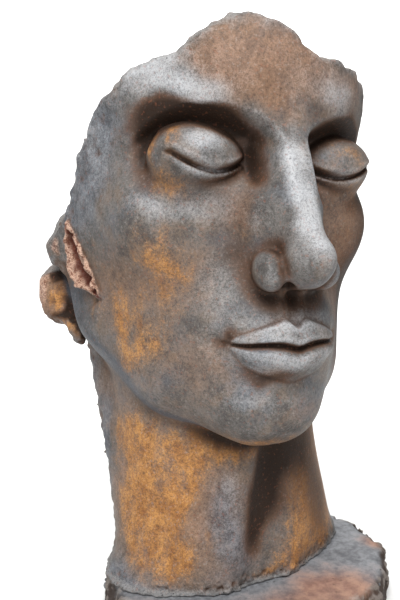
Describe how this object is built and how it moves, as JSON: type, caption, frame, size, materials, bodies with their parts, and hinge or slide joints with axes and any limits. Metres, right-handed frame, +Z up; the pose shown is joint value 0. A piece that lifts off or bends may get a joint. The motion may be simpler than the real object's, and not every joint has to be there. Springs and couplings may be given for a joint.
{
  "type": "broken garden face sculpture",
  "caption": "Broken cast-stone head with a calm face, closed eyes and a thick neck, standing on a low round slab.",
  "frame": {"origin": "middle of the whole piece seen from above, on the underside of the slab", "axes": "+Z up, the face looks toward -Y, +X toward the figure's left"},
  "size_m": [0.4468, 0.4188, 0.7192],
  "materials": {
    "rusty_cast_stone": "fine-grained cast stone with a grey and orange rust patina, silvery where it is rubbed",
    "grey_cast_stone": "coarser grey cast stone with pinkish rust stains and a crumbled rim"
  },
  "bodies": {
    "root": {"face_and_neck": "rusty_cast_stone", "plinth": "grey_cast_stone"}
  },
  "joints": []
}
